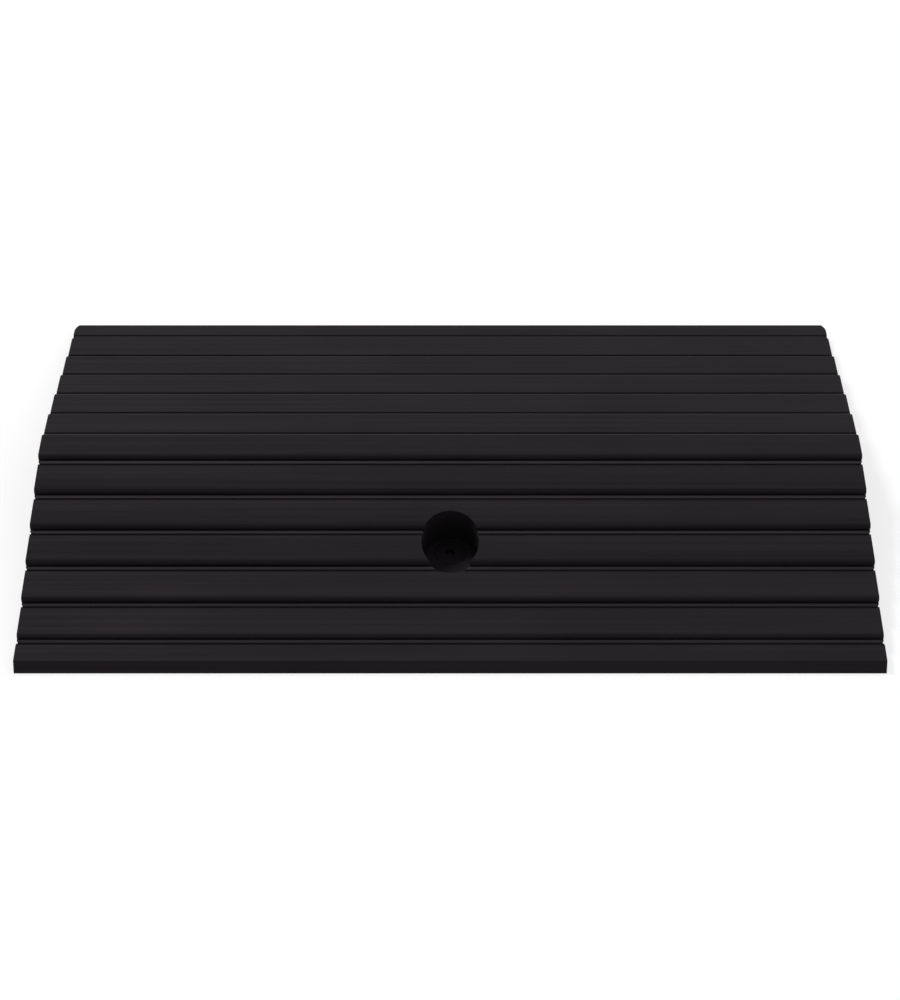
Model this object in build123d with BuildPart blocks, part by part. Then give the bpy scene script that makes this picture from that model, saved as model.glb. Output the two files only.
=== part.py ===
"""Rubber bridge threshold ramp: a ribbed moulding with two slopes that straddles a door threshold."""

import os
from math import asin, cos, sin

from build123d import *

# Whole ramp, in millimetres: X runs across the doorway, Y along the way of travel, Z up from the floor
WIDTH = 800.0
HEIGHT = 60.0
EDGE_HEIGHT = 10.5
EDGE_LEAN = 6.1
REAR_CORNER_ROUND = 18.0
REAR_CORNER_OVERLAP = 0.15

# Treads, measured along the line of their noses: each is less steep, so its nose stands over the one below it
FULL_TREADS = 5
PITCH = 39.2
EDGE_TREAD = 18.0
CROWN_WIDTH = 34.7
NOSE_STEP = 4.5
NOSE_ROUND = 4.7
CROWN_ROUND = 4.4
EDGE_ROUND = 1.5
BACK_ROUND = 1.3
TREAD_END_ROUND = 1.2
NARROWEST_ROUNDED_TREAD = 20.0

# Recess at the back of a tread, going up the slope: a seam, the grip strip, a gap under the next nose
SEAM_WIDTH = 1.8
SEAM_DEPTH = 1.6
STRIP_WIDTH = 3.4
GAP_WIDTH = 1.3
GAP_DEPTH = 3.0

# Grip strips, each held by a dovetail foot in a slot under the recess
STRIP_BELOW_TREAD = 0.3
STRIP_BEVEL = 0.4
STRIP_END_INSET = 1.5
FOOT_DEPTH = 4.0
FOOT_FLARE = 0.7

# Channel under the crown that the door threshold lies in
CHANNEL_WIDTH = 100.0
CHANNEL_HEIGHT = 30.0
CHANNEL_ROUND = 8.0
CHANNEL_LEAD_IN = 4.0

# Oval well for one floor fixing, on the front slope
WELL_Y = -106.7
WELL_WIDTH = 54.6
WELL_LENGTH = 64.8
WELL_FLOOR = 5.0
WELL_STRIP_CLEARANCE = 0.5

# Fixing washer and the hole through it, in the rear part of the well
FIXING_Y = -92.7
BOLT_HOLE_RADIUS = 4.5
WASHER_RADIUS = 15.0
WASHER_THICKNESS = 2.0
WASHER_SEAT_DEPTH = 2.0
WASHER_SEAT_CLEARANCE = 0.5

# Worked out from the sizes above
RECESSES = FULL_TREADS + 1
RECESS_WIDTH = SEAM_WIDTH + STRIP_WIDTH + GAP_WIDTH
SLOPE_LENGTH = EDGE_TREAD + FULL_TREADS * PITCH + RECESS_WIDTH
SLOPE = asin((HEIGHT - EDGE_HEIGHT) / SLOPE_LENGTH)
SLOPE_FOOT_Y = -CROWN_WIDTH / 2 - SLOPE_LENGTH * cos(SLOPE)
FRONT_Y = SLOPE_FOOT_Y - EDGE_LEAN
WASHER_BOTTOM = WELL_FLOOR - WASHER_SEAT_DEPTH
STRIP_LENGTH = WIDTH - 2 * STRIP_END_INSET
TOUCH = 0.01


def on_slope(along, above):
    """Profile point on the front slope: distance up it from its lower edge, and height off its noses."""
    y = SLOPE_FOOT_Y + along * cos(SLOPE) - above * sin(SLOPE)
    z = EDGE_HEIGHT + along * sin(SLOPE) + above * cos(SLOPE)
    return (y, z)


def recess_start(index):
    """Distance up the slope at which a recess begins, counted from the edge tread."""
    return EDGE_TREAD + index * PITCH


def back_height(index):
    """Height off the line of the noses at the back of the tread below a recess: the edge tread drops less."""
    full_length = PITCH - RECESS_WIDTH
    length = EDGE_TREAD if index == 0 else full_length
    return -NOSE_STEP * length / full_length


def foot_outline(index):
    """Corners of a grip strip's dovetail foot, which are those of its slot under the recess."""
    lower = recess_start(index) + SEAM_WIDTH
    upper = lower + STRIP_WIDTH
    top = back_height(index) - GAP_DEPTH
    bottom = top - FOOT_DEPTH
    return [
        on_slope(lower, top),
        on_slope(lower - FOOT_FLARE, bottom),
        on_slope(upper + FOOT_FLARE, bottom),
        on_slope(upper, top),
    ]


def strip_top(index):
    """The two upper corners of a grip strip, from its upper side to its lower side."""
    lower = recess_start(index) + SEAM_WIDTH
    top = back_height(index) - STRIP_BELOW_TREAD
    return [
        on_slope(lower + STRIP_WIDTH, top),
        on_slope(lower, top),
    ]


def half_outline():
    """Corners of the front half of the profile, from its front foot over the crown to the channel."""
    points = [(FRONT_Y, 0), on_slope(0, 0)]
    for index in range(RECESSES):
        start = recess_start(index)
        end = start + RECESS_WIDTH
        back = back_height(index)
        seam = back - SEAM_DEPTH
        points += [on_slope(start, back), on_slope(start, seam), on_slope(start + SEAM_WIDTH, seam)]
        points += foot_outline(index)
        points += [on_slope(end, back - GAP_DEPTH), on_slope(end, 0)]
    points += [(0, HEIGHT), (0, CHANNEL_HEIGHT)]
    points += [(-CHANNEL_WIDTH / 2, CHANNEL_HEIGHT), (-CHANNEL_WIDTH / 2, 0)]
    return points


def rounded_corners():
    """Corners of the treads on the front half of the profile, in groups, each with its radius."""
    backs = [on_slope(recess_start(index), back_height(index)) for index in range(RECESSES)]
    noses = [on_slope(recess_start(index) + RECESS_WIDTH, 0) for index in range(RECESSES)]
    crown_nose = noses.pop()
    lower_edge = on_slope(0, 0)
    return [(backs, BACK_ROUND), (noses, NOSE_ROUND), ([crown_nose], CROWN_ROUND), ([lower_edge], EDGE_ROUND)]


os.makedirs("parts", exist_ok=True)

# Ramp body: one profile with every tread, recess and slot, run the full width
with BuildPart() as ramp_body:
    with BuildSketch(Plane.YZ) as profile:
        with BuildLine():
            Polyline(*half_outline(), close=True)
        make_face()
        for corners, radius in rounded_corners():
            fillet([profile.vertices().sort_by_distance(corner)[0] for corner in corners], radius)
        channel_side = profile.edges().filter_by(Axis.Y).sort_by(Axis.X)[0]
        channel_foot, channel_corner = channel_side.vertices().sort_by(Axis.Y)
        fillet(channel_corner, CHANNEL_ROUND)
        chamfer(profile.vertices().sort_by_distance(channel_foot)[0], CHANNEL_LEAD_IN)
        mirror(about=Plane.YZ)
    extrude(amount=WIDTH / 2, both=True)

    # Moulded rounding around the ends of the crown and the full treads
    tread_ends = []
    for face in ramp_body.faces():
        if face.normal_at().Z > 0.9 and face.area > NARROWEST_ROUNDED_TREAD * WIDTH:
            across = face.edges().sort_by(Axis.X)
            tread_ends += [across[0], across[-1]]
    fillet(tread_ends, TREAD_END_ROUND)

    # Rounded rear corners: the round crosses the faces a little, to leave no sliver where it would touch them
    corner_centre = REAR_CORNER_ROUND - REAR_CORNER_OVERLAP
    for side in (-1, 1):
        with BuildSketch(Plane.XY):
            with Locations((side * WIDTH / 2, -FRONT_Y)):
                Rectangle(2 * corner_centre, 2 * corner_centre)
            with Locations((side * (WIDTH / 2 - corner_centre), -FRONT_Y - corner_centre)):
                Circle(REAR_CORNER_ROUND, mode=Mode.SUBTRACT)
        extrude(amount=HEIGHT, mode=Mode.SUBTRACT)

    # Oval well
    with BuildSketch(Plane.XY.offset(WELL_FLOOR)):
        with Locations((0, WELL_Y)):
            Ellipse(WELL_WIDTH / 2, WELL_LENGTH / 2)
    extrude(amount=HEIGHT, mode=Mode.SUBTRACT)

    # Washer seat and bolt hole in the well's floor
    with BuildSketch(Plane.XY.offset(WASHER_BOTTOM)):
        with Locations((0, FIXING_Y)):
            Circle(WASHER_RADIUS + WASHER_SEAT_CLEARANCE)
    extrude(amount=WASHER_SEAT_DEPTH, mode=Mode.SUBTRACT)
    with Locations((0, FIXING_Y, WASHER_BOTTOM)):
        Hole(BOLT_HOLE_RADIUS)

ramp_body.part.label = "ramp_body"
export_step(ramp_body.part, "parts/ramp_body.step")

# Grip strips: the well cuts two of the front ones into a left and a right piece
for side, toward in (("front", 1), ("rear", -1)):
    for index in range(RECESSES):
        with BuildPart() as grip_strip:
            with BuildSketch(Plane.YZ) as section:
                with BuildLine():
                    outline = foot_outline(index) + strip_top(index)
                    Polyline(*[(toward * y, z) for y, z in outline], close=True)
                make_face()
                chamfer(section.vertices().sort_by(Axis.Y)[-2:], STRIP_BEVEL)
            extrude(amount=STRIP_LENGTH / 2, both=True)
            with BuildSketch(Plane.XY):
                with Locations((0, WELL_Y)):
                    Ellipse(WELL_WIDTH / 2 + WELL_STRIP_CLEARANCE, WELL_LENGTH / 2 + WELL_STRIP_CLEARANCE)
            extrude(amount=HEIGHT, mode=Mode.SUBTRACT)
        pieces = grip_strip.part.solids().sort_by(Axis.X)
        endings = [""] if len(pieces) == 1 else ["_left", "_right"]
        for piece, ending in zip(pieces, endings):
            piece.label = f"{side}_grip_strip_{index + 1}{ending}"
            export_step(piece, f"parts/{piece.label}.step")

# Fixing washer, loose in its seat at the bottom of the well
with BuildPart() as fixing_washer:
    with BuildSketch(Plane.XY.offset(WASHER_BOTTOM)):
        with Locations((0, FIXING_Y)):
            Circle(WASHER_RADIUS)
            Circle(BOLT_HOLE_RADIUS, mode=Mode.SUBTRACT)
    extrude(amount=WASHER_THICKNESS)

fixing_washer.part.label = "fixing_washer"
export_step(fixing_washer.part, "parts/fixing_washer.step")
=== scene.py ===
"""Looks of the rubber bridge threshold ramp: its finishes, the studio and the photograph's view."""

import math

import bpy
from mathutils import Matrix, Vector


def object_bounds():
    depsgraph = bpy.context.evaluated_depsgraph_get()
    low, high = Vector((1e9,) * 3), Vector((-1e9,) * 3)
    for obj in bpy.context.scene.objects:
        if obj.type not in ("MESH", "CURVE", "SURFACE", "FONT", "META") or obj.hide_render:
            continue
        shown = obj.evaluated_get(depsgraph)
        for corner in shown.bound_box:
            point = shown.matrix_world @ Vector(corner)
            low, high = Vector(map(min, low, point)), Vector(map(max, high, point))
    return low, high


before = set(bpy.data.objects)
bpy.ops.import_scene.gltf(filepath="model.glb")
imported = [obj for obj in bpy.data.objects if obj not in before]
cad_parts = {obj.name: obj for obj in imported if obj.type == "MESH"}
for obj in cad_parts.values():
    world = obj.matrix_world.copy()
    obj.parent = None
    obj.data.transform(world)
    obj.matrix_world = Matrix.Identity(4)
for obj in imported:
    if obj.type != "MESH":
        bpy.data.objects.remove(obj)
cad_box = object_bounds()
scene = bpy.context.scene

# Camera, fitted to the photograph's tread lines and outline; distances here and below are in metres
CAMERA_ACROSS = -0.0002
CAMERA_HEIGHT = 1.4949
CAMERA_DISTANCE = 1.4614
CAMERA_TILT = math.radians(45.993)
LENS_MM = 75.63
SENSOR_MM = 36.0

# Floor, lifted to white where it is seen, with a dark disc of painted shade for the bolt's hole under the
# well
FLOOR_SIZE = 40.0
FLOOR_BELOW = 0.0004
FLOOR_COLOUR = (0.36, 0.36, 0.36, 1.0)
FLOOR_LIFT = 0.655
FLOOR_LIFT_INSET = 0.012
FLOOR_HOLE = (0.0, -0.0927, -FLOOR_BELOW)
FLOOR_HOLE_RADIUS = 0.012
FLOOR_HOLE_SHADE_COLOUR = (0.018, 0.018, 0.018, 1.0)

# Low backdrop that stands on the floor all around
BACKDROP_RADIUS = 19.0
BACKDROP_HEIGHT = 3.2
BACKDROP_SIDES = 96

# Soft sky, brighter overhead, and leaning to the right and a little to the front
SKY_LOW = 0.36
SKY_HIGH = 0.70
SKY_POWER = 0.80
SKY_LEAN = (0.50, -0.12, 0.0)

# Key light from behind and to the left, and a wider, weaker fill light from behind and to the right
KEY_STRENGTH = 1.55
KEY_SIZE = math.radians(12.0)
KEY_HEIGHT = math.radians(46.0)
KEY_TURN = math.radians(44.0)
FILL_STRENGTH = 0.42
FILL_SIZE = math.radians(40.0)
FILL_HEIGHT = math.radians(31.0)
FILL_TURN = math.radians(-44.0)

# Pattern of every finish: streaks and smudges that go from its dark to its pale colour, and a fine grain
STREAK_SCALE = 3.0
STREAK_DETAIL = 4.0
STREAK_SHARE = 0.55
STREAKS_ALONG_WIDTH = (0.7, 100.0, 100.0)
STREAKS_ALL_WAYS = (40.0, 40.0, 40.0)
SMUDGE_STRETCH = (1.0, 2.0, 2.0)
SMUDGE_SCALE = 9.0
SMUDGE_DETAIL = 3.0
SMUDGE_SHARE = 0.45
GRAIN_STRETCH = (1.0, 1.0, 1.0)
GRAIN_DETAIL = 2.0
GRAIN_STRENGTH = 0.5
NOISE_LOW = 0.3
NOISE_HIGH = 0.7

# Black rubber of the moulding
RUBBER_DARK = (0.0027, 0.0023, 0.0027, 1.0)
RUBBER_PALE = (0.0083, 0.0070, 0.0083, 1.0)
RUBBER_SPECULAR = 0.22
RUBBER_ROUGHNESS = (0.62, 0.83)
RUBBER_GRAIN_SCALE = 1100.0
RUBBER_GRAIN_DEPTH = 0.00012

# Painted shade on the rubber, with more roughness there: darker on the crown, and darker down the upper
# front treads to their rounded noses
CROWN_EDGE = 0.01735
CROWN_PAINTED_SHADE = 0.10
TREAD_RUN = 0.0382
TREADS_WITH_PAINTED_SHADE = 3.0
PAINTED_SHADE_START = 0.3
NOSE_START = 0.86
TREAD_PAINTED_SHADE = 0.33
ROUGHNESS_UNDER_PAINTED_SHADE = 0.22
LEAST_UPWARD = 0.2
OVER_WELL_FLOOR = 0.007

# Paler rubber of the grip strips, with painted shade and more roughness from the crown down to the edges
STRIP_DARK = (0.0166, 0.0147, 0.0166, 1.0)
STRIP_PALE = (0.0237, 0.0209, 0.0237, 1.0)
STRIP_SPECULAR = 0.22
STRIP_ROUGHNESS = (0.67, 0.78)
STRIP_GRAIN_SCALE = 1400.0
STRIP_GRAIN_DEPTH = 0.00008
STRIP_PAINTED_SHADE = 0.36
LOWEST_STRIP = 0.21

# Black coat of the steel washer
STEEL_DARK = (0.0022, 0.0019, 0.0022, 1.0)
STEEL_PALE = (0.0034, 0.0029, 0.0034, 1.0)
STEEL_SPECULAR = 0.22
STEEL_ROUGHNESS = (0.60, 0.75)
STEEL_GRAIN_SCALE = 2200.0
STEEL_GRAIN_DEPTH = 0.00003

# Faint purple of the gloss on all three finishes
GLOSS_TINT = (1.0, 0.86, 1.0, 1.0)

# Plain colours
BLACK = (0.0, 0.0, 0.0, 1.0)
WHITE = (1.0, 1.0, 1.0, 1.0)

# Sockets of a colour Mix node, by number because their names repeat for its other kinds of data
MIX_FACTOR = 0
MIX_FIRST = 6
MIX_SECOND = 7
MIX_RESULT = 2


def empty_tree(owner):
    """The node tree of a material or world, cleared."""
    owner.use_nodes = True
    owner.node_tree.nodes.clear()
    return owner.node_tree


def add(tree, kind, links=(), **values):
    """A new node with its links, and values for its properties or, by label, for its input sockets."""
    node = tree.nodes.new(kind)
    for name, value in values.items():
        if hasattr(node, name):
            setattr(node, name, value)
        else:
            node.inputs[name.replace("_", " ")].default_value = value
    for socket, source in links:
        tree.links.new(source, node.inputs[socket])
    return node


def axes(tree, vector):
    """The X, Y and Z sockets of a vector."""
    return add(tree, "ShaderNodeSeparateXYZ", [(0, vector)]).outputs


def calculate(tree, operation, first, second=None):
    """The result of a calculation on a socket and, where it needs one, a second socket or number."""
    node = add(tree, "ShaderNodeMath", [(0, first)], operation=operation)
    if isinstance(second, float):
        node.inputs[1].default_value = second
    elif second is not None:
        tree.links.new(second, node.inputs[1])
    return node.outputs[0]


def calculate_vector(tree, operation, vector, fixed):
    """The number that a calculation on a vector socket and a fixed vector gives."""
    node = add(tree, "ShaderNodeVectorMath", [(0, vector)], operation=operation)
    node.inputs[1].default_value = fixed
    return node.outputs["Value"]


def blend(tree, factor, first, second):
    """The mix of a first colour, which may come from a socket, with a second colour."""
    node = add(tree, "ShaderNodeMix", [(MIX_FACTOR, factor)], data_type="RGBA")
    if isinstance(first, tuple):
        node.inputs[MIX_FIRST].default_value = first
    else:
        tree.links.new(first, node.inputs[MIX_FIRST])
    node.inputs[MIX_SECOND].default_value = second
    return node.outputs[MIX_RESULT]


def noise(tree, where, stretch, scale, detail):
    """Noise in the object's own metres, finer along an axis with a larger stretch."""
    mapping = add(tree, "ShaderNodeMapping", [("Vector", where)], Scale=stretch)
    texture = add(tree, "ShaderNodeTexNoise", [("Vector", mapping.outputs[0])], Scale=scale, Detail=detail)
    return texture.outputs["Fac"]


def spread(tree, value, start, end, low, high):
    """A value that runs from a start to an end, spread over the range from low to high and held there."""
    ends = {"From_Min": start, "From_Max": end, "To_Min": low, "To_Max": high}
    return add(tree, "ShaderNodeMapRange", [("Value", value)], **ends).outputs["Result"]


def between(tree, factor, low, high):
    """The middle range of a noise, spread over two numbers."""
    return spread(tree, factor, NOISE_LOW, NOISE_HIGH, low, high)


def painted_tread_shade(tree, where):
    """How much shade is painted on the rubber: some on the crown, and more and more down each of the upper
    front treads.
    """
    place = axes(tree, where)
    # Painted shade: darker on the crown and down the upper front treads, only on upward faces above the
    # well's floor
    on_crown = calculate(tree, "LESS_THAN", calculate(tree, "ABSOLUTE", place["Y"]), CROWN_EDGE)
    crown_shade = calculate(tree, "MULTIPLY", on_crown, CROWN_PAINTED_SHADE)

    treads_down = calculate(tree, "DIVIDE", calculate(tree, "ADD", place["Y"], CROWN_EDGE), -TREAD_RUN)
    from_middle = calculate(tree, "ABSOLUTE", calculate(tree, "SUBTRACT", treads_down, TREADS_WITH_PAINTED_SHADE / 2))
    on_treads = calculate(tree, "LESS_THAN", from_middle, TREADS_WITH_PAINTED_SHADE / 2)
    along_tread = calculate(tree, "FRACT", treads_down)
    down_tread = spread(tree, along_tread, PAINTED_SHADE_START, NOSE_START, 0.0, TREAD_PAINTED_SHADE)
    over_nose = spread(tree, along_tread, NOSE_START, 1.0, TREAD_PAINTED_SHADE, 0.0)
    tread_shade = calculate(tree, "MULTIPLY", on_treads, calculate(tree, "MINIMUM", down_tread, over_nose))

    upward = axes(tree, add(tree, "ShaderNodeTexCoord").outputs["Normal"])["Z"]
    faces_up = calculate(tree, "GREATER_THAN", upward, LEAST_UPWARD)
    above_well_floor = calculate(tree, "GREATER_THAN", place["Z"], OVER_WELL_FLOOR)
    on_top = calculate(tree, "MULTIPLY", faces_up, above_well_floor)
    return calculate(tree, "MULTIPLY", on_top, calculate(tree, "ADD", crown_shade, tread_shade))


def painted_strip_shade(tree, where):
    """How much shade is painted on a grip strip: more and more from the crown down to the lowest strips.
    """
    # Painted shade: darker the further a strip is from the crown
    from_crown = calculate(tree, "ABSOLUTE", axes(tree, where)["Y"])
    return spread(tree, from_crown, CROWN_EDGE, LOWEST_STRIP, 0.0, STRIP_PAINTED_SHADE)


def finish_of(name, dark, pale, specular, roughness, streak_stretch, grain_scale, grain_depth, shade_painter=None):
    """A finish with streaks, soft smudges and a fine grain, and where given, painted shade that darkens it
    towards black by place and makes it rougher there.
    """
    material = bpy.data.materials.new(name)
    tree = empty_tree(material)
    where = add(tree, "ShaderNodeTexCoord").outputs["Object"]
    streaks = noise(tree, where, streak_stretch, STREAK_SCALE, STREAK_DETAIL)
    smudges = noise(tree, where, SMUDGE_STRETCH, SMUDGE_SCALE, SMUDGE_DETAIL)
    grain = noise(tree, where, GRAIN_STRETCH, grain_scale, GRAIN_DETAIL)
    streak_part = between(tree, streaks, 0.0, STREAK_SHARE)
    smudge_part = between(tree, smudges, 0.0, SMUDGE_SHARE)
    colour = blend(tree, calculate(tree, "ADD", streak_part, smudge_part), dark, pale)
    gloss = between(tree, streaks, *roughness)
    # Painted shade: the colour darkens towards black by place, and the roughness rises there
    if shade_painter:
        shade_and_roughness = shade_painter(tree, where)
        colour = blend(tree, shade_and_roughness, colour, BLACK)
        gloss = calculate(tree, "ADD", gloss, calculate(tree, "MULTIPLY", shade_and_roughness, ROUGHNESS_UNDER_PAINTED_SHADE))
    bump = add(tree, "ShaderNodeBump", [("Height", grain)], Strength=GRAIN_STRENGTH, Distance=grain_depth)
    shader = add(tree, "ShaderNodeBsdfPrincipled", [
        ("Base Color", colour),
        ("Roughness", gloss),
        ("Normal", bump.outputs[0]),
    ], Specular_IOR_Level=specular, Specular_Tint=GLOSS_TINT)
    add(tree, "ShaderNodeOutputMaterial", [("Surface", shader.outputs[0])])
    return material


def seen_ray(tree):
    """One where a surface is seen, directly, in gloss or through glass, and zero where it gives light."""
    path = add(tree, "ShaderNodeLightPath").outputs
    seen = calculate(tree, "MAXIMUM", path["Is Camera Ray"], path["Is Glossy Ray"])
    return calculate(tree, "MAXIMUM", seen, path["Is Transmission Ray"])


def backdrop_material():
    """White where it is seen, and otherwise as bright as the low sky that it stands in front of."""
    material = bpy.data.materials.new("studio_backdrop")
    tree = empty_tree(material)
    strength = calculate(tree, "MAXIMUM", seen_ray(tree), SKY_LOW)
    glow = add(tree, "ShaderNodeEmission", [("Strength", strength)], Color=WHITE)
    add(tree, "ShaderNodeOutputMaterial", [("Surface", glow.outputs[0])])
    return material


def floor_material():
    """Matte floor that carries the shadow, lifted to white where it is seen, but not under the ramp."""
    material = bpy.data.materials.new("studio_floor")
    tree = empty_tree(material)
    position = add(tree, "ShaderNodeNewGeometry").outputs["Position"]
    place = axes(tree, position)
    across = calculate(tree, "ABSOLUTE", place["X"])
    along = calculate(tree, "ABSOLUTE", place["Y"])
    right, back, _ = cad_box[1]
    beside = calculate(tree, "GREATER_THAN", across, right - FLOOR_LIFT_INSET)
    beyond = calculate(tree, "GREATER_THAN", along, back - FLOOR_LIFT_INSET)
    clear = calculate(tree, "MAXIMUM", beside, beyond)
    lift = calculate(tree, "MULTIPLY", calculate(tree, "MULTIPLY", seen_ray(tree), clear), FLOOR_LIFT)
    # Painted shade: a dark disc on the floor stands for the bolt's hole under the well
    from_hole = calculate_vector(tree, "DISTANCE", position, FLOOR_HOLE)
    in_hole_shade = calculate(tree, "LESS_THAN", from_hole, FLOOR_HOLE_RADIUS)
    colour = blend(tree, in_hole_shade, FLOOR_COLOUR, FLOOR_HOLE_SHADE_COLOUR)
    matte = add(tree, "ShaderNodeBsdfDiffuse", [("Color", colour)])
    glow = add(tree, "ShaderNodeEmission", [("Strength", lift)], Color=WHITE)
    both = add(tree, "ShaderNodeAddShader", [(0, matte.outputs[0]), (1, glow.outputs[0])])
    add(tree, "ShaderNodeOutputMaterial", [("Surface", both.outputs[0])])
    return material


def make_sky():
    """A world that fades from overhead down to the horizon, brighter on the side it leans to."""
    world = bpy.data.worlds.new("studio")
    tree = empty_tree(world)
    direction = add(tree, "ShaderNodeTexCoord").outputs["Generated"]
    up = calculate(tree, "MAXIMUM", axes(tree, direction)["Z"], 0.0)
    by_height = spread(tree, calculate(tree, "POWER", up, SKY_POWER), 0.0, 1.0, SKY_LOW, SKY_HIGH)
    by_side = calculate(tree, "ADD", calculate_vector(tree, "DOT_PRODUCT", direction, SKY_LEAN), 1.0)
    strength = calculate(tree, "MULTIPLY", by_height, by_side)
    sky = add(tree, "ShaderNodeBackground", [("Strength", strength)], Color=WHITE)
    add(tree, "ShaderNodeOutputWorld", [("Surface", sky.outputs[0])])
    scene.world = world


def make_lamp(name, strength, size, height, turn):
    """A distant lamp behind the ramp, on its left, or on its right where the turn is below zero."""
    light = bpy.data.lights.new(name, "SUN")
    light.energy = strength
    light.angle = size
    lamp = bpy.data.objects.new(name, light)
    lamp.rotation_euler = (height - math.pi / 2, 0, turn)
    scene.collection.objects.link(lamp)


def make_studio():
    """Floor, backdrop, sky, key light and fill light."""
    bpy.ops.mesh.primitive_plane_add(size=FLOOR_SIZE, location=(0, 0, -FLOOR_BELOW))
    floor = bpy.context.object
    floor.name = "studio_floor"
    floor.data.materials.append(floor_material())

    bpy.ops.mesh.primitive_cylinder_add(
        vertices=BACKDROP_SIDES,
        radius=BACKDROP_RADIUS,
        depth=BACKDROP_HEIGHT,
        end_fill_type="NOTHING",
        location=(0, 0, BACKDROP_HEIGHT / 2 - FLOOR_BELOW),
    )
    backdrop = bpy.context.object
    backdrop.name = "studio_backdrop"
    backdrop.data.materials.append(backdrop_material())

    make_sky()
    make_lamp("key_light", KEY_STRENGTH, KEY_SIZE, KEY_HEIGHT, KEY_TURN)
    make_lamp("fill_light", FILL_STRENGTH, FILL_SIZE, FILL_HEIGHT, FILL_TURN)


def make_camera():
    """The photograph's view: from the front, at the middle of the ramp's width."""
    data = bpy.data.cameras.new("camera")
    data.sensor_width = SENSOR_MM
    data.lens = LENS_MM
    camera = bpy.data.objects.new("camera", data)
    camera.location = (CAMERA_ACROSS, -CAMERA_DISTANCE, CAMERA_HEIGHT)
    camera.rotation_euler = (math.pi / 2 - CAMERA_TILT, 0, 0)
    scene.collection.objects.link(camera)
    scene.camera = camera


def dress(node, material):
    """Puts one finish on a whole CAD node."""
    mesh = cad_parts[node].data
    mesh.materials.clear()
    mesh.materials.append(material)


rubber = finish_of(
    "moulded_rubber", RUBBER_DARK, RUBBER_PALE, RUBBER_SPECULAR, RUBBER_ROUGHNESS,
    STREAKS_ALONG_WIDTH, RUBBER_GRAIN_SCALE, RUBBER_GRAIN_DEPTH, painted_tread_shade,
)
strip_rubber = finish_of(
    "strip_rubber", STRIP_DARK, STRIP_PALE, STRIP_SPECULAR, STRIP_ROUGHNESS,
    STREAKS_ALONG_WIDTH, STRIP_GRAIN_SCALE, STRIP_GRAIN_DEPTH, painted_strip_shade,
)
steel = finish_of(
    "coated_steel", STEEL_DARK, STEEL_PALE, STEEL_SPECULAR, STEEL_ROUGHNESS,
    STREAKS_ALL_WAYS, STEEL_GRAIN_SCALE, STEEL_GRAIN_DEPTH,
)
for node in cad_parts:
    if "grip_strip" in node:
        dress(node, strip_rubber)
dress("ramp_body", rubber)
dress("fixing_washer", steel)

make_studio()
make_camera()
scene.view_settings.view_transform = "Standard"
